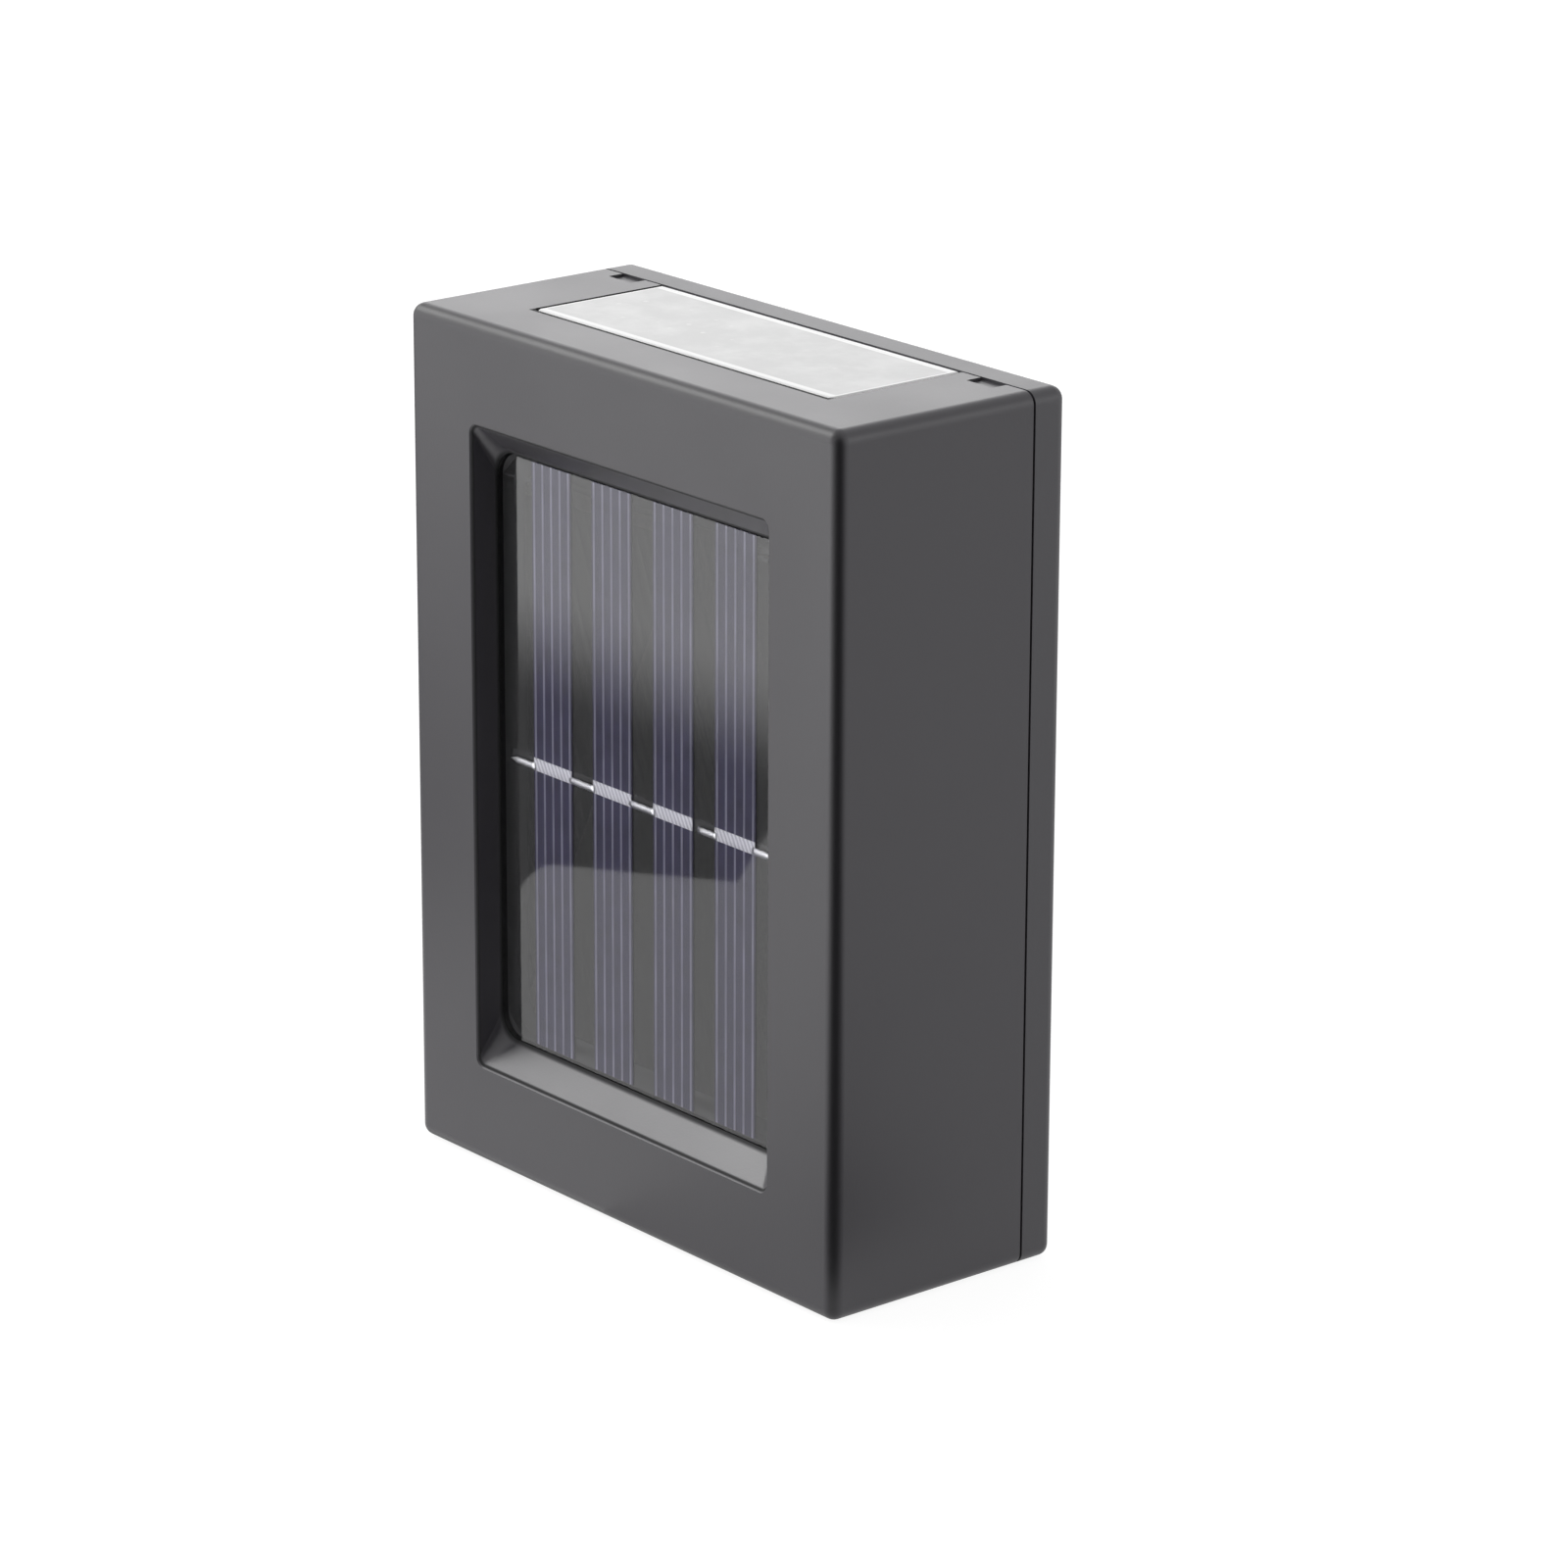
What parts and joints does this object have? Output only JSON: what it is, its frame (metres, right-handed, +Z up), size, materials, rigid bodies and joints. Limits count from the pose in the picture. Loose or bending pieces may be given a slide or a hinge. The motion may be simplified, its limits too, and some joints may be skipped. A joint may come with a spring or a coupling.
{
  "type": "solar fence light",
  "caption": "Box-shaped solar wall light for a fence, with a recessed panel in front and a flush light window above and below.",
  "frame": {"origin": "middle of the rear cover's back face, on the plane of the wall", "axes": "+Z up; +Y into the wall, so the solar panel faces -Y; +X to the right for someone who faces the light"},
  "size_m": [0.075, 0.032, 0.1],
  "materials": {
    "case_plastic": "fine matt texture",
    "cover_plastic": "fine matt texture",
    "gasket_rubber": "matt",
    "screw_steel": "plated",
    "adhesive": "matt",
    "panel_board": "satin",
    "cell_silicon": "satin",
    "solder_pad": "screen printed",
    "tab_ribbon": "tinned",
    "clear_resin": "glossy",
    "lens_plastic": "frosted",
    "reflector_white": "satin",
    "led_board_white": "solder mask",
    "led_package": "phosphor",
    "board_green": "solder mask",
    "chip_black": "moulded",
    "ferrite": "sintered",
    "capacitor_sleeve": "sleeve",
    "switch_black": "satin",
    "plunger_white": "satin",
    "button_rubber": "matt",
    "holder_black": "satin",
    "battery_sleeve": "shrink sleeve",
    "contact_nickel": "nickel plated",
    "wire_red": "satin",
    "wire_black": "satin",
    "wire_white": "satin"
  },
  "bodies": {
    "light_body": {"front_housing": "case_plastic", "panel_adhesive": "adhesive", "solar_board": "panel_board", "solar_cells": "cell_silicon", "cell_pads": "solder_pad", "cell_ribbons": "tab_ribbon", "solar_resin": "clear_resin", "top_lens": "lens_plastic", "bottom_lens": "lens_plastic", "top_reflector": "reflector_white", "bottom_reflector": "reflector_white", "top_led_board": "led_board_white", "bottom_led_board": "led_board_white", "top_leds": "led_package", "bottom_leds": "led_package", "control_board": "board_green", "board_screws": "screw_steel", "driver_chip": "chip_black", "inductor": "ferrite", "capacitor": "capacitor_sleeve", "switch_body": "switch_black", "battery_holder": "holder_black", "battery_cell": "battery_sleeve", "battery_spring": "contact_nickel", "battery_plate": "contact_nickel", "battery_wire_red": "wire_red", "battery_wire_black": "wire_black", "panel_wire_red": "wire_red", "panel_wire_black": "wire_black", "top_led_wires": "wire_white", "bottom_led_wires": "wire_white"},
    "cover_body": {"rear_cover": "cover_plastic", "cover_gasket": "gasket_rubber", "cover_screws": "screw_steel"},
    "switch_button": {"switch_plunger": "plunger_white", "button_cap": "button_rubber"}
  },
  "joints": [
    {"name": "cover_slide", "type": "slide", "parent": "light_body", "child": "cover_body", "axis": [0, 1, 0], "range_m": [0, 0.04]},
    {"name": "button_press", "type": "slide", "parent": "light_body", "child": "switch_button", "axis": [0, -1, 0], "range_m": [0, 0.0015], "stiffness_N_per_m": 500}
  ]
}
